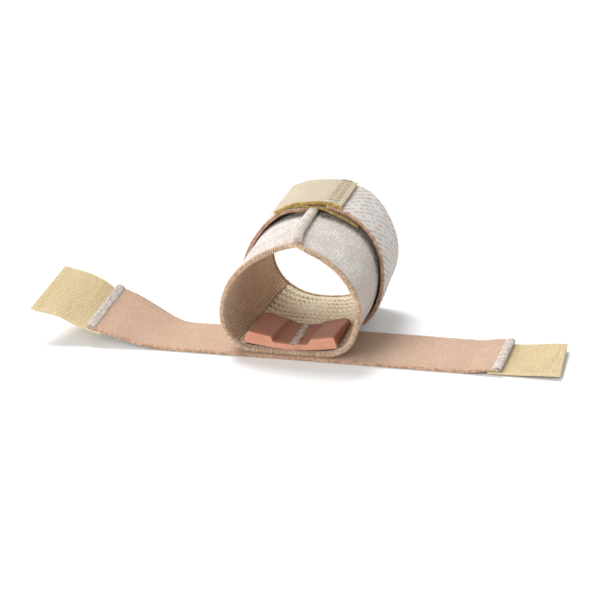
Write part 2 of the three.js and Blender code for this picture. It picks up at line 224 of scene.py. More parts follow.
def blend_four(a, b, c, d, share):
    """Smooth value between b and c, from four neighbouring values."""
    slope_in = (c - a) / 2
    slope_out = (d - b) / 2
    square = share * share
    cube = square * share
    rise = slope_in * (cube - 2 * square + share) + slope_out * (cube - square)
    return b * (2 * cube - 3 * square + 1) + c * (3 * square - 2 * cube) + rise


def section(name, turn):
    """Across and up, in millimetres, on one of the sleeve's outlines at shares of a turn."""
    rows = np.array(STATIONS[name])
    place = (turn - np.floor(turn)) * len(rows)
    first = np.floor(place).astype(int)
    near_rows = [rows[(first + offset) % len(rows)] for offset in (-1, 0, 1, 2)]
    shares = blend_four(*near_rows, (place - first)[..., None])
    return shares[..., 0] * SLEEVE_WIDTH / 2, SLEEVE_BASE + np.maximum(shares[..., 1], 0) * SLEEVE_HEIGHT


def outline(turn, y):
    """Outer outline of the sleeve at any place along it."""
    turn, y = np.broadcast_arrays(np.asarray(turn, float), np.asarray(y, float))
    along = np.clip(y - SLEEVE_NEAR, 0, SLEEVE_LENGTH)
    near, middle, far = (np.stack(section(name, turn)) for name in ("near", "middle", "far"))
    front = np.sin(math.pi / 2 * np.minimum(along / SLEEVE_MIDDLE, 1))
    back = 1 - np.cos(math.pi / 2 * np.clip((along - SLEEVE_MIDDLE) / (SLEEVE_LENGTH - SLEEVE_MIDDLE), 0, 1))
    return np.where(along < SLEEVE_MIDDLE, mix(near, middle, front), mix(middle, far, back))


def lifted(turn, y, lift):
    """Points at a lift outward from the sleeve's outer face; a negative lift goes into the wall."""
    reach = 0.004
    turn, y, lift = np.broadcast_arrays(turn, y, lift)
    centre = outline(turn, y)
    ahead = outline(turn + reach, y) - outline(turn - reach, y)
    ahead = ahead / np.linalg.norm(ahead, axis=0)
    return np.stack([centre[0] + ahead[1] * lift, y, centre[1] - ahead[0] * lift], -1)


GIRTH_TURNS = np.linspace(-1, 2, 6001)
GIRTH_POINTS = outline(GIRTH_TURNS, SLEEVE_NEAR + SLEEVE_MIDDLE)
GIRTH_STEPS = np.linalg.norm(np.diff(GIRTH_POINTS, axis=1), axis=0)
GIRTH_MARKS = np.concatenate([[0], np.cumsum(GIRTH_STEPS)])


def from_turn(turn):
    """Distance in millimetres round the sleeve from the middle of its underside."""
    return np.interp(turn, GIRTH_TURNS, GIRTH_MARKS) - np.interp(0, GIRTH_TURNS, GIRTH_MARKS)


def to_turn(girth):
    return np.interp(girth + np.interp(0, GIRTH_TURNS, GIRTH_MARKS), GIRTH_MARKS, GIRTH_TURNS)


def beside_seam(distance):
    """Turn at a distance to the right of the seam, negative to its left."""
    return to_turn(from_turn(SEAM_TURN) - distance)


WRAP_RIGHT_END = beside_seam(WRAP_END)
WRAP_LEFT_END = beside_seam(-WRAP_END)
WRAP_RIGHT_LAP = beside_seam(WRAP_END + TAB_LAP)
WRAP_LEFT_LAP = beside_seam(-WRAP_END - TAB_LAP)


def wrap_lift(turn):
    """Lift of the closed strap's inner face off the sleeve."""
    turn = turn - np.floor(turn)
    place = np.minimum(turn, 1 - turn) / SEAM_TURN * (len(STAND_OFF["right"]) - 1)
    first = np.minimum(np.floor(place).astype(int), len(STAND_OFF["right"]) - 2)
    shares = {}
    for side, rows in STAND_OFF.items():
        rows = np.array(rows)
        around = [rows[np.minimum(np.abs(first + offset), len(rows) - 1)] for offset in (-1, 0, 1, 2)]
        shares[side] = blend_four(*around, place - first)
    return CLEARANCE + WRAP_RISE * np.where(turn < SEAM_TURN, shares["right"], shares["left"])


def wrap_thickness(turn):
    pressed_right = ease(turn, beside_seam(WRAP_END + 2 * TAB_LAP), WRAP_RIGHT_LAP)
    pressed_left = ease(-turn, -beside_seam(-WRAP_END - 2 * TAB_LAP), -WRAP_LEFT_LAP)
    pressed = np.where(turn < SEAM_TURN, pressed_right, pressed_left)
    return mix(STRAP_THICKNESS, STRAP_PRESSED, pressed)


def wrap_outer_lift(turn):
    return wrap_lift(turn) + wrap_thickness(turn)


def under_tab_lift(turn):
    """Lift of the tab that runs from the left strap end over the ridge and under the right strap end."""
    lap = wrap_outer_lift(WRAP_LEFT_END) + CLEARANCE
    over_ridge = RIDGE_HEIGHT + 2 * CLEARANCE
    ridge_left = beside_seam(-RIDGE_DRIFT - RIDGE_WIDTH / 2)
    settled = beside_seam(WRAP_END + 2 * TAB_LAP)
    dropped = mix(over_ridge, lap, ease(turn, ridge_left, WRAP_LEFT_END))
    free = mix(2 * CLEARANCE, dropped, ease(turn, settled, SEAM_TURN))
    return np.where(turn > WRAP_LEFT_END, wrap_outer_lift(turn) + CLEARANCE, free)


def top_tab_lift(turn):
    """Lift of the outermost tab, which runs over everything else at the top."""
    over_strap = wrap_outer_lift(turn) + CLEARANCE
    over_tab = over_strap + UNDER_TAB_THICKNESS + CLEARANCE
    down = ease(turn, WRAP_LEFT_LAP, beside_seam(-WRAP_END - TAB_LAP - TAB_SETTLE))
    left = wrap_outer_lift(WRAP_LEFT_END) + UNDER_TAB_THICKNESS + 2 * CLEARANCE
    right = wrap_outer_lift(WRAP_RIGHT_END) + CLEARANCE
    bridge = mix(right, left, ease(turn, WRAP_RIGHT_END, WRAP_LEFT_END))
    lift = np.where(turn >= WRAP_LEFT_END, mix(over_tab, over_strap, down), bridge)
    return np.where(turn <= WRAP_RIGHT_END, over_strap, lift)


def settled_top_lift(turn):
    """Lift of the outermost tab evened out over a few millimetres, as stiff tape lies."""
    offsets = np.linspace(-TAPE_EVENS, TAPE_EVENS, 7)
    first, last = from_turn(WRAP_RIGHT_LAP), from_turn(beside_seam(WRAP_END - TOP_TAB_FREE))
    girth = from_turn(turn)
    return sum(top_tab_lift(to_turn(np.clip(girth + offset, first, last))) for offset in offsets) / 7 + 0.1


def curl_at(out, column):
    """Value of one column of the curl table at shares of the reach."""
    places = np.array(CURL["out"])
    values = np.array(CURL[column], float)
    last = len(places) - 1
    first = np.clip(np.searchsorted(places, out) - 1, 0, last - 1)
    share = (out - places[first]) / (places[first + 1] - places[first])
    around = [values[np.clip(first + offset, 0, last)] for offset in (-1, 0, 1, 2)]
    return blend_four(*around, share)


def open_underside(x, across):
    """Points on the open strap's underside; across runs from 0 at the near edge to 1 at the far edge."""
    x, across = np.broadcast_arrays(np.asarray(x, float), np.asarray(across, float))
    y = STRAP_NEAR + across * STRAP_WIDTH
    out = np.clip(-x / RAISED_REACH, 0, 1)
    near = np.maximum(curl_at(out, "near"), 0) * CURL_HEIGHT
    far = np.maximum(curl_at(out, "far"), 0) * CURL_HEIGHT
    skew = curl_at(out, "skew") * TIP_SKEW * across
    draw = curl_at(out, "draw") * EDGE_DRAW * across
    lap_start = FLAT_HALF - TAB_LAP
    over_tab = (TAB_THICKNESS + CLEARANCE) * ease(x, lap_start - FLAT_RUN_UP, lap_start)
    at_hem = FLAT_END_LIFT * ease(x, lap_start - FLAT_RUN_UP, FLAT_HALF)
    to_tip = ease(x, FLAT_HALF, FLAT_REACH)
    tip = (mix(TAB_TIP_LIFT, TAB_FAR_TIP_LIFT, across) - FLAT_END_LIFT) * to_tip
    raised = x < 0
    shift = np.where(raised, skew, -FLAT_TIP_SKEW * across * to_tip)
    height = np.where(raised, mix(near, far, across), over_tab + at_hem + tip)
    return np.stack([x + shift, np.where(raised, y - draw, y), height], -1)


def strap_thickness(x):
    from_end = np.where(x < 0, RAISED_HALF + x, FLAT_HALF - x)
    return mix(STRAP_PRESSED, STRAP_THICKNESS, ease(from_end, TAB_LAP, 2 * TAB_LAP))


# Making pieces
def link_piece(name, mesh, materials):
    for material in materials:
        mesh.materials.append(material)
    piece = bpy.data.objects.new(name, mesh)
    bpy.context.scene.collection.objects.link(piece)
    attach(piece, "root")
    return piece


def mesh_piece(name, points, faces, materials, cloth=None, painted_shade=None, finish_of=None):
    """A piece from points in millimetres. Cloth holds along, across and side for the weave, the next argument
    holds painted shade that darkens each point towards its material's shade colour, and finish_of picks a material
    for each face."""
    mesh = bpy.data.meshes.new(name)
    mesh.from_pydata((points * MM).tolist(), [], faces)
    if cloth is not None:
        mesh.attributes.new("cloth", "FLOAT_VECTOR", "POINT").data.foreach_set("vector", cloth.ravel())
    if painted_shade is not None:
        mesh.attributes.new("painted_shade", "FLOAT", "POINT").data.foreach_set("value", painted_shade.ravel())
    if finish_of is not None:
        mesh.polygons.foreach_set("material_index", finish_of)
    shell = bmesh.new()
    shell.from_mesh(mesh)
    bmesh.ops.recalc_face_normals(shell, faces=shell.faces)
    shell.to_mesh(mesh)
    shell.free()
    mesh.shade_smooth()
    return link_piece(name, mesh, materials)


def swept(points):
    """Faces of a closed piece from rings of points: quads round it and a cap on each end."""
    rings, around = points.shape[:2]
    index = np.arange(rings * around).reshape(rings, around)
    here, ahead = index[:-1], index[1:]
    quads = np.stack([here, np.roll(here, -1, 1), np.roll(ahead, -1, 1), ahead], -1).reshape(-1, 4)
    return quads.tolist() + [index[0].tolist(), index[-1].tolist()]


def band_ring(width, thickness, step, round_steps=3):
    """Section of a band with rounded edges, once round it: distance across, share of the thickness over
    its under face, and the finish after each point: 0 on the upper face, 1 on the under face and 2 on the
    edges."""
    radius = thickness / 2
    flat = np.linspace(radius, width - radius, max(3, round(width / step)))
    angles = np.radians(np.linspace(90, -90, round_steps + 2)[1:-1])
    bulge = radius * np.cos(angles)
    rise = 0.5 + 0.5 * np.sin(angles)
    across = np.concatenate([flat, width - radius + bulge, flat[::-1], (radius - bulge)[::-1]])
    height = np.concatenate([np.ones_like(flat), rise, np.zeros_like(flat), rise[::-1]])
    ahead = np.roll(height, -1)
    finish = np.where(height + ahead > 1.8, 0, np.where(height + ahead < 0.2, 1, 2))
    return across, height, finish


def band_finish(columns, finish):
    """Material index of each face of a swept band, with the edges' finish on its two ends."""
    return np.concatenate([np.tile(finish, columns - 1), [2, 2]]).astype(int)


def threads(name, paths, radius, material, sides=5, taper=1.0):
    """One piece of many round threads. Each path is a row of points, and taper thins the far ends."""
    paths = np.asarray(paths, float)
    ahead = np.gradient(paths, axis=1)
    ahead /= np.linalg.norm(ahead, axis=2, keepdims=True) + 1e-9
    spare = np.where(np.abs(ahead[..., 2:3]) > 0.8, [[[1.0, 0.0, 0.0]]], [[[0.0, 0.0, 1.0]]])
    side = np.cross(ahead, spare)
    side /= np.linalg.norm(side, axis=2, keepdims=True) + 1e-9
    up = np.cross(side, ahead)
    angle = np.linspace(0, 2 * math.pi, sides, endpoint=False)
    thickness = radius * np.linspace(1, taper, paths.shape[1])[None, :, None, None]
    ring = side[:, :, None] * np.cos(angle)[:, None] + up[:, :, None] * np.sin(angle)[:, None]
    points = paths[:, :, None] + ring * thickness
    count, length = paths.shape[:2]
    index = np.arange(count * length * sides).reshape(count, length, sides)
    here, later = index[:, :-1], index[:, 1:]
    quads = np.stack([here, np.roll(here, -1, 2), np.roll(later, -1, 2), later], -1).reshape(-1, 4)
    faces = quads.tolist() + index[:, 0].tolist() + index[:, -1].tolist()
    return mesh_piece(name, points.reshape(-1, 3), faces, [material])


def uneven(size, swing):
    return chance.uniform(-swing, swing, size)


def ripple(u, v, pitch, seed):
    """Smooth uneven relief between about -1 and 1, from a few slanted waves."""
    waves = np.random.default_rng(seed)
    total = 0
    for _ in range(5):
        angle = waves.uniform(0, math.pi)
        stretch = waves.uniform(0.7, 1.5)
        phase = waves.uniform(0, 2 * math.pi)
        total = total + np.sin((u * math.cos(angle) + v * math.sin(angle)) * 2 * math.pi * stretch / pitch + phase)
    return total / 3


# Materials
def tint(red, green, blue):
    """Linear colour of a screen colour given from 0 to 255."""
    shares = [value / 255 for value in (red, green, blue)]
    linear = [s / 12.92 if s <= 0.04045 else ((s + 0.055) / 1.055) ** 2.4 for s in shares]
    return (*linear, 1)


def node(tree, kind, inputs=(), **settings):
    """A node whose inputs are set from values or linked from other sockets."""
    made = tree.nodes.new(kind)
    for key, value in settings.items():
        setattr(made, key, value)
    for key, value in dict(inputs).items():
        if isinstance(value, bpy.types.NodeSocket):
            tree.links.new(value, made.inputs[key])
        else:
            made.inputs[key].default_value = value
    return made


def maths(tree, operation, first, second=0.0, third=0.0):
    return node(tree, "ShaderNodeMath", {0: first, 1: second, 2: third}, operation=operation).outputs[0]


def blend_colour(tree, share, first, second):
    made = node(tree, "ShaderNodeMix", {0: share, 6: first, 7: second}, data_type="RGBA")
    return made.outputs[2]


def new_group(name, inputs, outputs):
    """An empty node group with named inputs, given with their usual values, and named outputs."""
    tree = bpy.data.node_groups.new(name, "ShaderNodeTree")
    for label, usual in inputs.items():
        kind = "NodeSocketVector" if usual is None else "NodeSocketFloat"
        socket = tree.interface.new_socket(label, in_out="INPUT", socket_type=kind)
        if usual is not None:
            socket.default_value = usual
    for label in outputs:
        tree.interface.new_socket(label, in_out="OUTPUT", socket_type="NodeSocketFloat")
    start = tree.nodes.new("NodeGroupInput")
    end = tree.nodes.new("NodeGroupOutput")
    return tree, start.outputs, end.inputs


def weave_group():
    """Cords along a cloth with short dashes between them, staggered from row to row."""
    inputs = {"Cloth": None, "Cord Pitch": 1.2, "Dash Pitch": 2.0, "Dash Length": 0.3, "Dash Width": 0.3,
              "Presence": 0.6, "Stagger": 0.37}
    tree, given, out = new_group("weave", inputs, ["Dashes", "Cords", "Picks"])
    place = node(tree, "ShaderNodeSeparateXYZ", {0: given["Cloth"]})
    row = maths(tree, "DIVIDE", place.outputs[1], given["Cord Pitch"])
    row_number = maths(tree, "FLOOR", row)
    row_share = maths(tree, "SUBTRACT", maths(tree, "FRACT", row), 0.5)
    stagger = maths(tree, "MULTIPLY", row_number, given["Stagger"])
    cell = maths(tree, "ADD", maths(tree, "DIVIDE", place.outputs[0], given["Dash Pitch"]), stagger)
    cell_number = maths(tree, "FLOOR", cell)
    cell_share = maths(tree, "SUBTRACT", maths(tree, "FRACT", cell), 0.5)
    along = maths(tree, "POWER", maths(tree, "DIVIDE", cell_share, given["Dash Length"]), 2.0)
    across = maths(tree, "POWER", maths(tree, "DIVIDE", row_share, given["Dash Width"]), 2.0)
    depth = maths(tree, "SUBTRACT", 1.0, maths(tree, "ADD", along, across))
    spot = node(tree, "ShaderNodeCombineXYZ", {0: cell_number, 1: row_number})
    luck = node(tree, "ShaderNodeTexWhiteNoise", {0: spot.outputs[0]}, noise_dimensions="2D")
    shown = maths(tree, "LESS_THAN", luck.outputs[0], given["Presence"])
    strength = maths(tree, "MULTIPLY", shown, maths(tree, "MULTIPLY_ADD", luck.outputs[0], 0.6, 0.55))
    solid = maths(tree, "MINIMUM", maths(tree, "MULTIPLY", maths(tree, "MAXIMUM", depth, 0.0), 3.0), 1.0)
    dashes = maths(tree, "MULTIPLY", solid, strength)
    tree.links.new(dashes, out["Dashes"])
    wave = maths(tree, "COSINE", maths(tree, "MULTIPLY", row_share, 2 * math.pi))
    tree.links.new(maths(tree, "MULTIPLY_ADD", wave, 0.5, 0.5), out["Cords"])
    pick = maths(tree, "COSINE", maths(tree, "MULTIPLY", cell_share, 2 * math.pi))
    tree.links.new(maths(tree, "MULTIPLY_ADD", pick, 0.5, 0.5), out["Picks"])
    return tree


def fibre_group():
    """Broad mottle and fine fuzz of spun yarn."""
    tree, given, out = new_group("fibre", {"Mottle Scale": 120.0, "Fuzz Scale": 1600.0}, ["Mottle", "Fuzz"])
    place = node(tree, "ShaderNodeTexCoord").outputs["Object"]
    broad = {"Vector": place, "Scale": given["Mottle Scale"], "Detail": 3.0, "Roughness": 0.6}
    fine = {"Vector": place, "Scale": given["Fuzz Scale"], "Detail": 2.0, "Roughness": 0.7}
    for settings, label in ((broad, "Mottle"), (fine, "Fuzz")):
        noise = node(tree, "ShaderNodeTexNoise", settings).outputs[0]
        spread = node(tree, "ShaderNodeMapRange", {0: noise, 1: 0.3, 2: 0.7})
        tree.links.new(spread.outputs[0], out[label])
    return tree


WEAVE = weave_group()
FIBRE = fibre_group()


def principled(name, roughness, sheen=0.0):
    material = bpy.data.materials.new(name)
    material.use_nodes = True
    tree = material.node_tree
    shader = tree.nodes["Principled BSDF"]
    shader.inputs["Roughness"].default_value = roughness
    shader.inputs["Sheen Weight"].default_value = sheen
    shader.inputs["Specular IOR Level"].default_value = 0.25
    return material, tree, shader


def cloth_finish(name, light, dark, dash, painted_shade_colour, cord_pitch, dash_pitch, presence=0.6, dash_length=0.3,
                 dash_width=0.35, cord_relief=0.3, dash_relief=0.5, fuzz_relief=0.35, mottle=0.4,
                 relief_size=0.6, cord_shade=0.4, stagger=0.37):
    """Woven or knitted cloth: light and dark yarn, dashes between the cords, and a shade colour painted in where
    the mesh carries painted shade.
    """
    material, tree, shader = principled(name, 0.92, 0.25)
    cloth = node(tree, "ShaderNodeAttribute", attribute_name="cloth").outputs["Vector"]
    painted_shade = node(tree, "ShaderNodeAttribute", attribute_name="painted_shade").outputs["Fac"]
    weave = node(tree, "ShaderNodeGroup", node_tree=WEAVE)
    tree.links.new(cloth, weave.inputs["Cloth"])
    for label, value in (("Cord Pitch", cord_pitch), ("Dash Pitch", dash_pitch), ("Presence", presence),
                         ("Dash Length", dash_length), ("Dash Width", dash_width), ("Stagger", stagger)):
        weave.inputs[label].default_value = value
    fibre = node(tree, "ShaderNodeGroup", node_tree=FIBRE)
    uneven_share = maths(tree, "MULTIPLY", fibre.outputs["Mottle"], mottle)
    cord_shade = maths(tree, "MULTIPLY", maths(tree, "SUBTRACT", 1.0, weave.outputs["Cords"]), cord_shade)
    fuzz_shade = maths(tree, "MULTIPLY", fibre.outputs["Fuzz"], 0.4)
    darkening = maths(tree, "ADD", maths(tree, "ADD", uneven_share, cord_shade), fuzz_shade)
    base = blend_colour(tree, node(tree, "ShaderNodeClamp", {0: darkening}).outputs[0], light, dark)
    base = blend_colour(tree, weave.outputs["Dashes"], base, dash)
    # Painted shade: blends towards the shade colour where the mesh's shade attribute is set.
    base = blend_colour(tree, painted_shade, base, painted_shade_colour)
    tree.links.new(base, shader.inputs["Base Color"])
    cords = maths(tree, "MULTIPLY", weave.outputs["Cords"], cord_relief)
    fuzz = maths(tree, "MULTIPLY", fibre.outputs["Fuzz"], fuzz_relief)
    dashes = maths(tree, "MULTIPLY", weave.outputs["Dashes"], -dash_relief)
    picks = maths(tree, "MULTIPLY", weave.outputs["Picks"], cord_relief / 2)
    height = maths(tree, "ADD", maths(tree, "ADD", cords, fuzz), maths(tree, "ADD", dashes, picks))
    bump = node(tree, "ShaderNodeBump", {"Height": height, "Distance": relief_size * MM, "Strength": 0.8})
    tree.links.new(bump.outputs[0], shader.inputs["Normal"])
    return material


def yarn_finish(name, light, dark, mottle_scale=700.0):
    """Spun thread with a slightly uneven colour."""
    material, tree, shader = principled(name, 0.85, 0.3)
    fibre = node(tree, "ShaderNodeGroup", {"Mottle Scale": mottle_scale, "Fuzz Scale": 5000.0}, node_tree=FIBRE)
    spread = node(tree, "ShaderNodeMapRange", {0: fibre.outputs["Mottle"], 1: 0.35, 2: 0.65})
    base = blend_colour(tree, spread.outputs[0], light, dark)
    tree.links.new(base, shader.inputs["Base Color"])
    bump = node(tree, "ShaderNodeBump", {"Height": fibre.outputs["Fuzz"], "Distance": 0.1 * MM})
    tree.links.new(bump.outputs[0], shader.inputs["Normal"])
    return material


def silicone_finish():
    """Moulded silicone: satin, slightly milky, with a faint uneven skin."""
    material, tree, shader = principled("terracotta_silicone", 0.5)
    shader.inputs["Subsurface Weight"].default_value = 0.12
    shader.inputs["Subsurface Radius"].default_value = (0.004, 0.0015, 0.0008)
    shader.inputs["Subsurface Scale"].default_value = 1.0
    fibre = node(tree, "ShaderNodeGroup", {"Mottle Scale": 90.0, "Fuzz Scale": 2600.0}, node_tree=FIBRE)
    base = blend_colour(tree, fibre.outputs["Mottle"], tint(209, 153, 129), tint(194, 133, 108))
    # Painted shade: darkens the pad towards a deep brown where the mesh's shade attribute is set.
    painted_shade = node(tree, "ShaderNodeAttribute", attribute_name="painted_shade").outputs["Fac"]
    base = blend_colour(tree, painted_shade, base, tint(122, 66, 42))
    tree.links.new(base, shader.inputs["Base Color"])
    bump = node(tree, "ShaderNodeBump", {"Height": fibre.outputs["Fuzz"], "Distance": 0.05 * MM})
    tree.links.new(bump.outputs[0], shader.inputs["Normal"])
    return material


RIBBED_INSIDE = cloth_finish(
    "ribbed_inside", tint(243, 214, 184), tint(218, 186, 154), tint(170, 134, 104), tint(112, 80, 55),
    cord_pitch=RIB_PITCH, dash_pitch=1.5, presence=0.3, cord_relief=0.15, mottle=0.3, cord_shade=0.25)
EDGE_CORE = yarn_finish("edge_core", tint(200, 168, 138), tint(162, 130, 101))
VELOUR_OUTSIDE = cloth_finish(
    "velour_outside", tint(239, 240, 240), tint(198, 188, 178), tint(182, 142, 108), tint(150, 130, 115),
    cord_pitch=1.2, dash_pitch=1.8, presence=0.55, dash_length=0.36, dash_width=0.19, mottle=0.5,
    cord_shade=0.5, cord_relief=0.3, relief_size=0.7)
ROLL_KNIT = cloth_finish(
    "roll_knit", tint(236, 226, 216), tint(204, 182, 164), tint(186, 150, 124), tint(150, 120, 96),
    cord_pitch=1.1, dash_pitch=1.3, presence=0.6, dash_length=0.3, dash_width=0.3, mottle=0.7,
    cord_shade=0.3, relief_size=0.8)
CREAM_KNIT = cloth_finish(
    "cream_knit", tint(250, 240, 212), tint(228, 212, 172), tint(208, 186, 138), tint(84, 62, 32),
    cord_pitch=0.8, dash_pitch=2.1, presence=0.35, cord_relief=0.4, mottle=0.3)
STRAP_INSIDE = cloth_finish(
    "strap_inside", tint(211, 179, 154), tint(191, 154, 127), tint(140, 94, 68), tint(120, 80, 60),
    cord_pitch=1.1, dash_pitch=0.95, presence=0.8, dash_length=0.24, dash_width=0.22, mottle=0.35,
    cord_shade=0.2, relief_size=0.6, stagger=0.13)
STRAP_OUTSIDE = cloth_finish(
    "strap_outside", tint(234, 230, 226), tint(210, 202, 196), tint(156, 110, 80), tint(130, 100, 84),
    cord_pitch=2.0, dash_pitch=2.6, presence=0.75, dash_length=0.27, dash_width=0.26, mottle=0.3,
    cord_shade=0.25, relief_size=0.9)
HEM_KNIT = cloth_finish(
    "hem_knit", tint(224, 214, 206), tint(180, 164, 150), tint(140, 116, 98), tint(130, 108, 92),
    cord_pitch=1.2, dash_pitch=1.3, presence=0.6, mottle=0.5, cord_relief=0.6)
HOOK_FACE = cloth_finish(
    "hook_face", tint(238, 218, 179), tint(221, 198, 153), tint(204, 176, 124), tint(180, 148, 94),
    cord_pitch=1.0, dash_pitch=1.0, presence=0.85, dash_width=0.22, dash_length=0.3, mottle=0.15,
    cord_shade=0.6, stagger=0.0)
HOOK_BACK = cloth_finish(
    "hook_back", tint(218, 206, 182), tint(190, 175, 148), tint(178, 156, 124), tint(176, 142, 84),
    cord_pitch=0.95, dash_pitch=1.4, presence=0.3, dash_length=0.4, mottle=0.2, cord_relief=0.5,
    cord_shade=0.7)
TAB_SIDE = yarn_finish("tab_side", tint(222, 192, 112), tint(184, 148, 70))
BEIGE_THREAD = yarn_finish("beige_thread", tint(240, 212, 182), tint(212, 178, 147))
TERRACOTTA_THREAD = yarn_finish("terracotta_thread", tint(232, 190, 162), tint(204, 156, 128))
CREAM_YARN = yarn_finish("cream_yarn", tint(255, 250, 230), tint(250, 238, 208))
WHITE_THREAD = yarn_finish("white_thread", tint(238, 232, 226), tint(208, 197, 186))
FRINGE_THREAD = yarn_finish("fringe_thread", tint(200, 197, 188), tint(168, 162, 150))
PALE_HOOK = yarn_finish("pale_hook", tint(246, 231, 197), tint(230, 206, 158))
GREY_THREAD = yarn_finish("grey_thread", tint(206, 196, 182), tint(156, 140, 124))
BROWN_THREAD = yarn_finish("brown_thread", tint(204, 176, 144), tint(164, 132, 102))
SILICONE = silicone_finish()


# Sleeve
def sleeve_wall():
    """Elastic tube wall: cords along the inside, a soft velour on the outside."""
    half = PANEL_WIDTH / 2 + CLEARANCE / 2
    girth = np.arange(half, from_turn(1) - half, RIB_PITCH / 6)
    across, height, finish = band_ring(SLEEVE_LENGTH, SLEEVE_WALL, 2)
    rib = np.abs(np.sin(math.pi * girth / RIB_PITCH))[:, None]
    y = SLEEVE_NEAR + across[None]
    inside = (height[None] == 0) * 1.0
    outside = (height[None] == 1) * 1.0
    lift = (height[None] - 1) * SLEEVE_WALL + inside * RIB_DEPTH * (1 - rib)
    lift = lift + outside * VELOUR_RIPPLE * ripple(girth[:, None], y, 9, 3)
    points = lifted(to_turn(girth)[:, None], y, lift)
    cloth = np.stack(np.broadcast_arrays(y, girth[:, None], height[None]), -1)
    # Painted shade in the valleys between the ribs on the inside.
    painted_shade = inside * (1 - rib) ** 1.5
    faces = swept(points)
    piece = mesh_piece("ribbed_sleeve", points.reshape(-1, 3), faces, [VELOUR_OUTSIDE, RIBBED_INSIDE, EDGE_CORE],
                       cloth, painted_shade, band_finish(len(girth), finish))
    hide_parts("sleeve")


def knit_strip():
    """Chunky cream knit along the underside: wavy rows with holes between them."""
    half = (PANEL_WIDTH - CLEARANCE) / 2
    girth = np.arange(-half, half, 0.24)
    across, height, finish = band_ring(SLEEVE_LENGTH, SLEEVE_WALL, 0.46)
    y = SLEEVE_NEAR + across[None]
    g = girth[:, None]
    inside = (height[None] == 0) * 1.0
    swing = KNIT_WAVE_SWING * (1 + 0.4 * ripple(g, y, 22, 5))
    wave = swing * np.sin(2 * math.pi * g / KNIT_WAVE + 0.4 * ripple(g, y, 30, 8))
    row = (y + wave) / KNIT_ROW
    gap = np.clip((KNIT_GAP - np.abs(np.cos(math.pi * row))) * 2.4, 0, 1)
    stitch = 0.5 + 0.5 * np.cos(2 * math.pi * g / KNIT_WAVE + math.pi * np.floor(row + 0.5))
    block = 0.5 + 0.5 * np.sin(2 * math.pi * g / KNIT_BLOCK + 0.8 * ripple(g, y, 40, 12))
    open_part = (0.4 + 0.6 * block) * (1 - 0.8 * ease(y, SLEEVE_FAR - 7, SLEEVE_FAR - 3))
    holes = gap * (0.4 + 0.6 * stitch) * open_part
    lift = (height[None] - 1) * SLEEVE_WALL + inside * holes * KNIT_DEPTH
    points = lifted(to_turn(girth)[:, None], y, lift)
    cloth = np.stack(np.broadcast_arrays(g, y, height[None]), -1)
    # Painted shade in the knit's holes, darkest where they are deepest.
    painted_shade = inside * np.clip(holes * 1.5, 0, 0.95)
    piece = mesh_piece("cream_knit_strip", points.reshape(-1, 3), swept(points),
                       [STRAP_OUTSIDE, CREAM_KNIT, EDGE_CORE], cloth, painted_shade, band_finish(len(girth), finish))
    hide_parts("knit_panel")


def knit_yarns():
    """Wavy cream yarns in rows over the knitted strip, lower under the pad."""
    half = (PANEL_WIDTH - CLEARANCE) / 2 - 0.4
    girth = np.arange(-half, half, 0.3)[None]
    rows = KNIT_ROW * np.arange(math.ceil((SLEEVE_NEAR + 2) / KNIT_ROW), (SLEEVE_FAR - 1.6) / KNIT_ROW)[:, None]
    swing = KNIT_WAVE_SWING * (1 + 0.4 * ripple(girth, rows, 22, 5))
    angle = 2 * math.pi * girth / KNIT_WAVE + 0.4 * ripple(girth, rows, 30, 8) + uneven(rows.shape, 0.2)
    hidden = (np.abs(girth) < PAD_WIDTH / 2) & (rows < SLEEVE_NEAR + PAD_INSET + PAD_LENGTH)
    lift = -SLEEVE_WALL + np.where(hidden, 0.75, 0.55) + 0.15 * np.cos(angle)
    paths = lifted(to_turn(girth), rows - swing * np.sin(angle), lift)
    threads("knit_yarns", paths, KNIT_YARN_RADIUS, CREAM_YARN, sides=7)


def edge_wave(girth):
    """Slight uneven run of a sleeve edge."""
    return 0.22 * ripple(girth, 0 * girth, 16, 21)


def edge_loops(name, edge, inward):
    """Overlock loops over one end of the sleeve; inward is 1 at the near end and -1 at the far end."""
    count = round(from_turn(1) / LOOP_PITCH)
    girth = np.linspace(0, from_turn(1), count, endpoint=False) + uneven(count, 0.12)
    reach = LOOP_REACH + uneven(count, 0.25)
    stand = SLEEVE_WALL / 2 + LOOP_STANDS
    share = np.linspace(0, 1, 13)
    bend = np.radians(np.clip((share - 0.25) / 0.5, 0, 1) * 180)
    run = np.where(share < 0.25, 1 - share / 0.25, np.where(share > 0.75, (share - 0.75) / 0.25, 0))
    y = edge + inward * (run[None] * reach[:, None] - stand * np.sin(bend)[None] * 0.7)
    y = y + edge_wave(girth)[:, None]
    lift = -SLEEVE_WALL / 2 + stand * np.cos(bend)[None]
    slanted = girth[:, None] + LOOP_SLANT * (share[None] - 0.5) * 2
    paths = lifted(to_turn(slanted), y, lift)
    loops = threads(name + "_loops", paths, YARN_RADIUS, BEIGE_THREAD)
    round_girth = np.linspace(0, from_turn(1), 900)
    bead = np.sin(2 * math.pi * round_girth / LOOP_PITCH)
    chain_y = edge + edge_wave(round_girth) + inward * LOOP_REACH * (1 + 0.1 * bead)
    chain = lifted(to_turn(round_girth), chain_y, 0.15 + 0.1 * bead)
    inner_chain = lifted(to_turn(round_girth), chain_y, -SLEEVE_WALL - 0.15 - 0.1 * bead)
    chains = threads(name + "_chain", [chain, inner_chain], 0.2, BEIGE_THREAD)
    return loops, chains


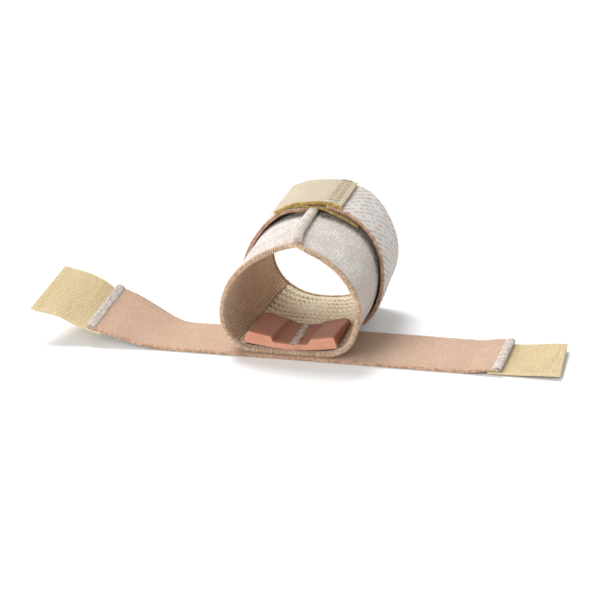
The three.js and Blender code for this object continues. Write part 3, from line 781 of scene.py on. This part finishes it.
def edge_binding(name, edge, inward):
    """Cloth roll that the overlock loops hold at one end of the sleeve."""
    girth = np.linspace(0, from_turn(1), 360, endpoint=False)
    angle = np.linspace(0, 2 * math.pi, 12, endpoint=False)
    radius = SLEEVE_WALL / 2 - 0.05
    y = edge + edge_wave(girth)[:, None] + inward * (0.5 + 0.9 * radius * np.cos(angle)[None])
    lift = -SLEEVE_WALL / 2 + radius * np.sin(angle)[None]
    points = lifted(to_turn(girth)[:, None], y, lift)
    rings, around = points.shape[:2]
    index = np.arange(rings * around).reshape(rings, around)
    ahead = np.roll(index, -1, 0)
    quads = np.stack([index, np.roll(index, -1, 1), np.roll(ahead, -1, 1), ahead], -1).reshape(-1, 4)
    return mesh_piece(name, points.reshape(-1, 3), quads.tolist(), [EDGE_CORE])


def roll_section(y, angle):
    """Points on the rolled seam allowance; angle 0 is its top."""
    opened = ease(y, SLEEVE_NEAR, SLEEVE_NEAR + RIDGE_DRIFT_RUN)
    under_strap = ease(y, WRAP_NEAR - 1, WRAP_NEAR + 4)
    middle = -RIDGE_DRIFT * opened
    height = mix(mix(ROLL_NEAR_HEIGHT, ROLL_HEIGHT, opened), RIDGE_HEIGHT, under_strap)
    width = mix(ROLL_WIDTH, RIDGE_WIDTH, under_strap)
    wobble = 1 + 0.05 * ripple(y, 0 * y, 9, 4)
    distance = middle + np.sin(angle) * width / 2 * wobble
    lift = 0.05 + height * (0.5 + 0.5 * np.cos(angle)) * wobble
    return lifted(beside_seam(distance), y + 0 * angle, lift)


def ridge_roll():
    """Rolled seam allowance along the top."""
    y = np.linspace(SLEEVE_NEAR + RIDGE_INSET, SLEEVE_FAR - RIDGE_INSET, 150)[:, None]
    angle = np.linspace(0, 2 * math.pi, 24, endpoint=False)[None]
    points = roll_section(y, angle)
    cloth = np.stack(np.broadcast_arrays(y, angle * ROLL_WIDTH / 2, 0 * y), -1)
    piece = mesh_piece("seam_roll", points.reshape(-1, 3), swept(points), [ROLL_KNIT], cloth)
    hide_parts("seam_ridge")


def roll_loops():
    """Knitted loops over the rolled seam allowance, slanted along it."""
    start = np.arange(SLEEVE_NEAR + RIDGE_INSET + 0.6, SLEEVE_FAR - RIDGE_INSET - 1.5, 0.9)[:, None]
    share = np.linspace(-1, 1, 9)[None]
    y = start + 0.8 * np.abs(share) + uneven(start.shape, 0.12)
    return threads("seam_roll_loops", roll_section(y, 1.5 * share), 0.16, WHITE_THREAD, sides=4)


def pile():
    """Short pile that is combed out from under the near edge of the closed strap, in a grey thread darker than the
    velour as painted shade under the strap's edge.
    """
    count = 700
    distance = chance.uniform(-26, 40, (count, 1))
    share = np.linspace(0, 1, 5)[None]
    start = WRAP_NEAR + chance.uniform(-1.5, 1.5, (count, 1))
    y = start - share * chance.uniform(1.5, 4.6, (count, 1))
    lift = 0.15 + 0.55 * share * (1 - 0.4 * share)
    points = lifted(beside_seam(distance + share * uneven((count, 1), 0.5)), y, lift)
    return threads("combed_pile", points, 0.08, GREY_THREAD, sides=3, taper=0.4)


# Straps
def open_band():
    """Open strap, with its cloth-covered inner face up."""
    x = np.arange(-RAISED_HALF + 0.8, FLAT_HALF - 0.8, 0.7)
    across, height, finish = band_ring(STRAP_WIDTH, STRAP_THICKNESS, 0.9)
    base = open_underside(x[:, None], across[None] / STRAP_WIDTH)
    base[..., 2] += height[None] * strap_thickness(x)[:, None]
    cloth = np.stack(np.broadcast_arrays(x[:, None], across[None], height[None]), -1)
    piece = mesh_piece("open_band", base.reshape(-1, 3), swept(base), [STRAP_INSIDE, STRAP_OUTSIDE, EDGE_CORE],
                       cloth, None, band_finish(len(x), finish))
    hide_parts("open_strap")
    flat_length = RAISED_HALF + FLAT_HALF + 2 * HEM_LENGTH
    return piece, flat_length


def selvedge(name, place, start, end, material, rows=2):
    """Braid of short slanted yarn loops along a strap edge, in two rows that meet in the middle, or only the
    upper one. Place gives points at a distance, a share of the thickness and a bulge."""
    along = np.arange(start, end - BEAD_PITCH, BEAD_PITCH)[:, None]
    share = np.linspace(0, 1, 6)[None]
    bulge = np.sin(math.pi * share) + 0 * along
    slant = along + share * BEAD_PITCH * 0.7 + uneven(along.shape, 0.08)
    upper = place(slant, 0.98 - 0.42 * share + 0 * along, bulge)
    lower = place(slant, 0.08 + 0.42 * share + 0 * along, bulge)
    paths = np.concatenate([upper, lower]) if rows == 2 else upper
    return threads(name, paths, BEAD_RADIUS, material)


def open_edge(across):
    """Places beads along an edge of the open strap."""
    outward = -1 if across == 0 else 1

    def place(x, height, bulge):
        points = open_underside(x, across)
        points[..., 1] += outward * (BEAD_BULGE * bulge - 0.2)
        points[..., 2] += 0.15 + height * (strap_thickness(x) - 0.15)
        return points

    return place


def wrap_span():
    """Distances round the sleeve of the closed strap's left end, below zero, and of its right end."""
    return from_turn(WRAP_LEFT_END) - from_turn(1), from_turn(WRAP_RIGHT_END)


def closed_band():
    """Closed strap round the sleeve."""
    start, end = wrap_span()
    girth = np.arange(start, end, 0.6)
    turn = to_turn(girth)[:, None]
    true_turn = np.where(turn < 0, turn + 1, turn)
    across, height, finish = band_ring(STRAP_WIDTH, STRAP_THICKNESS, 0.9)
    y = WRAP_NEAR + across[None]
    lift = wrap_lift(true_turn) + height[None] * wrap_thickness(true_turn)
    lift = lift + 0.1 * ripple(girth[:, None], y, 14, 9) * (height[None] == 1)
    points = lifted(true_turn, y, lift)
    cloth = np.stack(np.broadcast_arrays(girth[:, None], across[None], height[None]), -1)
    piece = mesh_piece("closed_band", points.reshape(-1, 3), swept(points),
                       [STRAP_OUTSIDE, STRAP_INSIDE, EDGE_CORE], cloth, None, band_finish(len(girth), finish))
    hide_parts("closed_strap")


def wrapped_edge_beads(name, y, outward):
    start, end = wrap_span()

    def place(girth, height, bulge):
        turn = to_turn(girth)
        true_turn = np.where(turn < 0, turn + 1, turn)
        lift = wrap_lift(true_turn) + height * wrap_thickness(true_turn)
        return lifted(true_turn, y + outward * (BEAD_BULGE * bulge - 0.2), lift)

    return selvedge(name, place, start, end, TERRACOTTA_THREAD)


def hem(name, side):
    """Folded end of the open strap, rolled onto its inner face, with stitches over it."""
    half = RAISED_HALF if side < 0 else FLAT_HALF
    across = np.linspace(0, 1, 70)[:, None]
    angle = np.linspace(0, 2 * math.pi, 20, endpoint=False)[None]
    middle = half - HEM_LENGTH / 2
    squash = np.sign(np.cos(angle)) * np.abs(np.cos(angle)) ** 0.8
    x = side * (middle + squash * HEM_SEEN / 2 + 0.12 * ripple(across * STRAP_WIDTH, 0 * across, 6, 2))
    base = open_underside(x, across)
    tall = STRAP_PRESSED + HEM_ROLL - 0.8
    base[..., 2] += 0.1 + tall * (0.5 + 0.5 * np.sin(angle)) + 0.1 * ripple(across * STRAP_WIDTH, angle, 5, 6)
    cloth = np.stack(np.broadcast_arrays(across * STRAP_WIDTH, angle * 1.4, 0 * angle), -1)
    piece = mesh_piece(name, base.reshape(-1, 3), swept(base), [HEM_KNIT], cloth)
    return piece


def hem_stitches(name, side):
    """Comb of soft yarn over the fold, slanted one way and then the other, down to the strap."""
    half = RAISED_HALF if side < 0 else FLAT_HALF
    count = 46
    first = (np.linspace(0.01, 0.97, count) + uneven(count, 0.004))[:, None]
    share = np.linspace(0, 1, 10)[None]
    lean = np.where(np.arange(count) % 2 == 0, 0.022, 0.0)[:, None]
    across = first + lean * np.sin(math.pi * share)
    x = side * (half - 0.1 - share * (HEM_SEEN + 0.2 + uneven((count, 1), 0.35)))
    base = open_underside(x, across)
    fold = (STRAP_PRESSED + HEM_ROLL - 0.8) * (1 - 0.6 * (2 * share - 1) ** 4)
    settled = mix(fold, STRAP_PRESSED - 0.1, ease(share, 0.85, 1.0))
    base[..., 2] += settled + 0.1
    return threads(name, base, 0.24, WHITE_THREAD, sides=4)


# Hook tabs
def tab_points(side, x, across, height):
    """Points of an open strap's tab; height is 0 at its under face and 1 at its upper face."""
    base = open_underside(x, across)
    base[..., 2] -= CLEARANCE + TAB_THICKNESS * (1 - height)
    return base


def open_tab(name, side, node_name):
    half = RAISED_HALF if side < 0 else FLAT_HALF
    x = np.linspace(half - TAB_LAP, half + TAB_FREE, 60)[:, None] * side
    across, height, finish = band_ring(TAB_WIDTH, TAB_THICKNESS, 0.9, 2)
    points = tab_points(side, x, (across[None] + TAB_INSET) / STRAP_WIDTH, height[None])
    cloth = np.stack(np.broadcast_arrays(x, across[None], height[None]), -1)
    piece = mesh_piece(name, points.reshape(-1, 3), swept(points), [HOOK_FACE, HOOK_BACK, HOOK_FACE],
                       cloth, None, band_finish(len(x), finish))
    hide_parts(node_name)
    return piece


def hooks(name, side):
    """Rows of small bent hooks on the face of an open tab."""
    half = RAISED_HALF if side < 0 else FLAT_HALF
    rows = np.arange(half + 0.8, half + TAB_FREE - 0.6, HOOK_PITCH)
    lines = np.arange(TAB_INSET + 1, TAB_INSET + TAB_WIDTH - 0.6, HOOK_PITCH)
    x, across = (grid.ravel()[:, None] for grid in np.meshgrid(rows, lines))
    lean = uneven(x.shape, 0.15)
    share = np.linspace(0, 1, 5)[None]
    bend = share * math.pi * 0.8
    points = tab_points(side, side * (x + 0.3 * np.sin(bend) + lean), (across + lean) / STRAP_WIDTH, 1.0)
    points[..., 2] += HOOK_HEIGHT * np.sin(bend * 0.9)
    return threads(name, points, 0.13, PALE_HOOK, sides=4)


def tab_fringe(name, side):
    """Cut ends of the tape's threads along both long edges and the end of an open tab."""
    half = RAISED_HALF if side < 0 else FLAT_HALF
    share = np.linspace(0, 1, 5)[None]
    x = np.arange(half + 0.4, half + TAB_FREE - 0.3, FRINGE_PITCH)[:, None]
    paths = []
    for edge, outward in ((TAB_INSET + 0.3, -0.35), (TAB_INSET + TAB_WIDTH - 0.3, 1.1)):
        reach = FRINGE_LENGTH * (1 + uneven(x.shape, 0.25)) * outward
        across = (edge + share * reach) / STRAP_WIDTH
        paths.append(tab_points(side, side * (x + uneven(x.shape, 0.1)), across, 0.7))
    across = np.arange(TAB_INSET + 0.6, TAB_INSET + TAB_WIDTH - 0.4, FRINGE_PITCH)[:, None]
    reach = FRINGE_END * (1 + uneven(across.shape, 0.3))
    end = side * (half + TAB_FREE - 0.7 + share * reach)
    paths.append(tab_points(side, end, across / STRAP_WIDTH, 0.7))
    return threads(name, np.concatenate(paths), 0.16, FRINGE_THREAD, sides=4, taper=0.5)


def wrapped_tab(name, node_name, start, end, lift_at, thickness, upper_finish):
    """A tab of the closed strap between two turns."""
    girth = np.linspace(from_turn(start), from_turn(end), 110)[:, None]
    turn = to_turn(girth)
    across, height, finish = band_ring(TAB_WIDTH, thickness, 0.9, 3)
    y = WRAP_NEAR + TAB_INSET + across[None]
    points = lifted(turn, y, lift_at(turn) + height[None] * thickness)
    cloth = np.stack(np.broadcast_arrays(y, girth, height[None]), -1)
    piece = mesh_piece(name, points.reshape(-1, 3), swept(points), [upper_finish, HOOK_FACE, TAB_SIDE],
                       cloth, None, band_finish(len(girth), finish))
    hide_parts(node_name)
    return piece


def tab_edge_loops(name, start, end, lift_at, thickness, drop):
    """Small loops along the near cut edge of a closed tab, which drop below it to the cloth."""
    girth = np.arange(from_turn(start), from_turn(end) - 0.5, 0.8)
    share = np.linspace(0, 1, 7)[None]
    turn = to_turn(girth[:, None] + 0.5 * share)
    lift = lift_at(turn) - drop + (thickness + drop) * (0.05 + 0.85 * share)
    y = WRAP_NEAR + TAB_INSET - 0.45 * np.sin(math.pi * share) + 0 * turn
    return threads(name, lifted(turn, y, lift), 0.36, TAB_SIDE, sides=5)


def tab_zigzag():
    """Zigzag in two columns that holds the outermost tab on the right strap end."""
    count = 14
    start = WRAP_NEAR + TAB_INSET + 1.2 + np.linspace(0, TAB_WIDTH - 3.5, count)[:, None]
    share = np.linspace(-1, 1, 6)[None]
    strokes = []
    for column, middle in enumerate((4.2, 6.3)):
        y = start + 0.5 * share + 0.9 * column + uneven((count, 1), 0.15)
        turn = beside_seam(middle + share * (0.95 + uneven((count, 1), 0.15)))
        lift = settled_top_lift(turn) + TAB_THICKNESS + 0.08 - 0.12 * share ** 2
        strokes.append(lifted(turn, y, lift))
    threads("tab_zigzag", np.concatenate(strokes), 0.19, BROWN_THREAD, sides=4)
    ends = np.array([WRAP_NEAR + TAB_INSET + 0.6, WRAP_NEAR + TAB_INSET + TAB_WIDTH - 1.2])[:, None]
    turn = beside_seam(5.2 + 1.9 * share)
    lift = settled_top_lift(turn) + TAB_THICKNESS + 0.35 - 0.25 * share ** 2
    threads("tab_zigzag_ends", lifted(turn, ends + 0.4 * share ** 2, lift + 0 * ends), 0.3, WHITE_THREAD)


# Pressure pad
def pad_profile(y):
    far = SLEEVE_NEAR + PAD_INSET + PAD_LENGTH
    into = max(0.0, y - (far - PAD_CORNER_ROUND)) / PAD_CORNER_ROUND
    half = PAD_WIDTH / 2
    narrowing = 1 - PAD_CORNER_ROUND / half * (1 - math.sqrt(1 - PAD_CORNER_FULLNESS * into * into))
    along = (y - SLEEVE_NEAR - PAD_INSET) / PAD_LENGTH
    return narrowing, along, mix(PAD_VEE, PAD_VEE_FAR, along)


def pad_heights(x, y):
    """Heights of the pad's top and underside over its base."""
    half = PAD_WIDTH / 2
    channel = CHANNEL_WIDTH / 2
    _, along, vee = pad_profile(y)
    under = vee * abs(x / half) ** PAD_VEE_POWER
    back = mix(PAD_FAR_INNER, PAD_FAR_OUTER, (x / half) ** 2)
    if abs(x) <= channel:
        return mix(PAD_FLOOR + CHANNEL_DISH * abs(x / channel), back - PAD_FAR_STEP, along), under
    if abs(x) >= half:
        return under + PAD_SIDE_HEIGHT, under
    side = (abs(x) - channel) / (half - channel)
    return mix(mix(PAD_BLOCK_INNER, PAD_BLOCK_OUTER, side), back + PAD_FAR_STEP, along), under


def pad():
    """Silicone pad with two blocks and a channel between them."""
    half = PAD_WIDTH / 2
    base = SLEEVE_BASE + SLEEVE_WALL + CLEARANCE
    channel = CHANNEL_WIDTH / 2
    bends = [half, half - PAD_FLARE, half - 2 * PAD_FLARE, (half + channel) / 2, channel + CHANNEL_WALL_RUN,
             channel, channel / 2]
    columns = [-x for x in bends] + [0] + bends[::-1]
    near = SLEEVE_NEAR + PAD_INSET
    far = near + PAD_LENGTH
    rows = list(np.linspace(near, far - PAD_CORNER_ROUND, 8))
    rows += [far - PAD_CORNER_ROUND * (1 - share) for share in (0.35, 0.6, 0.8, 0.93, 1)]
    points = []
    for y in rows:
        narrowing = pad_profile(y)[0]
        top = [(x * narrowing, y, base + pad_heights(x, y)[0]) for x in columns]
        under = [(x * narrowing, y, base + pad_heights(x, y)[1]) for x in columns]
        points.append(top + under[::-1])
    points = np.array(points)
    sunk = np.array([abs(x) <= channel for x in columns] + [False] * len(columns))
    side = np.array([abs(x) >= half for x in columns] + [True] * len(columns))
    # Painted shade: the front face keeps its own colour, the tops are darker, the channel darker still and the
    # side faces darkest.
    painted_shade = np.tile(0.38 + 0.2 * sunk + 0.45 * side, len(rows))
    painted_shade[:len(sunk)] = 0
    piece = mesh_piece("silicone_pad", points.reshape(-1, 3), swept(points), [SILICONE],
                       painted_shade=painted_shade)
    bevel = piece.modifiers.new("soft_edges", "BEVEL")
    bevel.width = PAD_EDGE_ROUND * MM
    bevel.segments = 3
    bevel.limit_method = "ANGLE"
    bevel.angle_limit = math.radians(24)
    piece.modifiers.new("even_shading", "WEIGHTED_NORMAL")
    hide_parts("pressure_pad")
    return piece


def pad_zigzag():
    """Zigzag thread along the middle of the channel."""
    base = SLEEVE_BASE + SLEEVE_WALL + CLEARANCE
    near = SLEEVE_NEAR + PAD_INSET + 0.8
    y = np.arange(near, near + PAD_LENGTH - 2, 0.2)
    swing = 4 * np.abs(((y - near) / 2.4) % 1 - 0.5) - 1
    x = mix(1.3, 0.3, (y - near) / PAD_LENGTH) + 1.8 * swing
    z = np.array([base + pad_heights(px, py)[0] for px, py in zip(x, y)]) + 0.12
    return threads("pad_zigzag", [np.stack([x, y, z], -1)], 0.24, GREY_THREAD)


# Loose threads
def frayed_ends():
    """Frayed yarn ends of the closed strap's left end."""
    count = 16
    share = np.linspace(0, 1, 7)[None]
    distance = -WRAP_END - 2.5 + uneven((count, 1), 2.0) + share * uneven((count, 1), 1.5)
    turn = beside_seam(distance)
    y = WRAP_NEAR - 0.2 - share * (1.2 + uneven((count, 1), 0.6))
    lift = wrap_lift(turn) + 0.6 - share * (0.7 + uneven((count, 1), 0.5))
    threads("frayed_ends", lifted(turn, y, lift), 0.13, TERRACOTTA_THREAD, sides=4, taper=0.5)


def pad_thread():
    """Loose sewing thread that hangs over the pad's near edge."""
    base = SLEEVE_BASE + SLEEVE_WALL + CLEARANCE
    near = SLEEVE_NEAR + PAD_INSET
    share = np.linspace(0, 1, 12)
    x = mix(-0.5, 5.5, share)
    y = near - 0.3 - 1.5 * ease(share, 0.2, 0.8)
    z = base + mix(PAD_FLOOR + 0.2, -3.4, share)
    threads("pad_thread", [np.stack([x, y, z], -1)], 0.2, BEIGE_THREAD, taper=0.6)


# Stage
def camera():
    azimuth, elevation = math.radians(CAMERA_AZIMUTH), math.radians(CAMERA_ELEVATION)
    ahead = Vector((-math.sin(azimuth) * math.cos(elevation), math.cos(azimuth) * math.cos(elevation),
                    -math.sin(elevation)))
    data = bpy.data.cameras.new("camera")
    data.lens = CAMERA_LENS
    data.sensor_width = CAMERA_SENSOR
    data.clip_start = 0.05
    data.clip_end = 20
    eye = bpy.data.objects.new("camera", data)
    eye.location = (Vector(LOOK_AT) - ahead * CAMERA_DISTANCE) * MM
    eye.rotation_mode = "QUATERNION"
    eye.rotation_quaternion = ahead.to_track_quat("-Z", "Y")
    bpy.context.scene.collection.objects.link(eye)
    bpy.context.scene.camera = eye


def soft_sun(name, came_from, spread, strength):
    """Distant soft light; spread is its angle in degrees, for the softness of the shadows."""
    data = bpy.data.lights.new(name, "SUN")
    data.angle = math.radians(spread)
    data.energy = strength
    lamp = bpy.data.objects.new(name, data)
    lamp.rotation_mode = "QUATERNION"
    lamp.rotation_quaternion = (-Vector(came_from)).to_track_quat("-Z", "Y")
    bpy.context.scene.collection.objects.link(lamp)


def studio():
    """White floor in a white room, with the main light from the upper left."""
    world = bpy.data.worlds.new("white_room")
    world.use_nodes = True
    background = world.node_tree.nodes["Background"]
    background.inputs["Color"].default_value = (1, 1, 1, 1)
    background.inputs["Strength"].default_value = ROOM_LIGHT
    bpy.context.scene.world = world
    bpy.context.scene.view_settings.view_transform = "Standard"
    mesh = bpy.data.meshes.new("floor")
    side = FLOOR_HALF
    mesh.from_pydata([(-side, -side, 0), (side, -side, 0), (side, side, 0), (-side, side, 0)], [], [(0, 1, 2, 3)])
    material, _, shader = principled("white_floor", 0.8)
    shader.inputs["Base Color"].default_value = (0.96, 0.96, 0.96, 1)
    mesh.materials.append(material)
    floor = bpy.data.objects.new("floor", mesh)
    bpy.context.scene.collection.objects.link(floor)
    soft_sun("main_light", (-0.4, 0.5, 1.0), 30, 2.6)
    soft_sun("front_light", (-0.6, -1.0, 0.5), 50, 1.9)


camera()
studio()
sleeve_wall()
knit_strip()
knit_yarns()
for end_name, edge, inward in (("near_edge", SLEEVE_NEAR, 1), ("far_edge", SLEEVE_FAR, -1)):
    edge_binding(end_name + "_binding", edge, inward)
    edge_loops(end_name, edge, inward)
ridge_roll()
roll_loops()
pile()
band, band_length = open_band()
hems = [hem("raised_hem", -1), hem("flat_hem", 1)]
stitches = [hem_stitches("raised_hem_stitches", -1), hem_stitches("flat_hem_stitches", 1)]
beads = [
    selvedge(name, open_edge(across), -RAISED_HALF + 1, FLAT_HALF - 1, TERRACOTTA_THREAD, rows=1)
    for name, across in (("open_near_selvedge", 0), ("open_far_selvedge", 1))
]
closed_band()
wrapped_edge_beads("closed_near_selvedge", WRAP_NEAR, -1)
wrapped_edge_beads("closed_far_selvedge", WRAP_FAR, 1)
for word, side in (("left", -1), ("right", 1)):
    open_tab(f"{word}_hook_tape", side, f"open_{word}_hook_tab")
    hooks(f"{word}_hooks", side)
    tab_fringe(f"{word}_fringe", side)
under_start = beside_seam(UNDER_TAB_FREE - WRAP_END)
top_end = beside_seam(WRAP_END - TOP_TAB_FREE)
wrapped_tab("under_hook_tape", "closed_under_hook_tab", under_start, WRAP_LEFT_LAP, under_tab_lift,
            UNDER_TAB_THICKNESS, HOOK_FACE)
tab_edge_loops("under_tape_edge", under_start, WRAP_LEFT_LAP, under_tab_lift, UNDER_TAB_THICKNESS, 0)
wrapped_tab("top_hook_tape", "closed_top_hook_tab", WRAP_RIGHT_LAP, top_end, settled_top_lift,
            TAB_THICKNESS, HOOK_BACK)
tab_edge_loops("top_tape_edge", WRAP_RIGHT_LAP, top_end, settled_top_lift, TAB_THICKNESS, TAPE_DROP)
tab_zigzag()
pad()
pad_zigzag()
pad_thread()
frayed_ends()
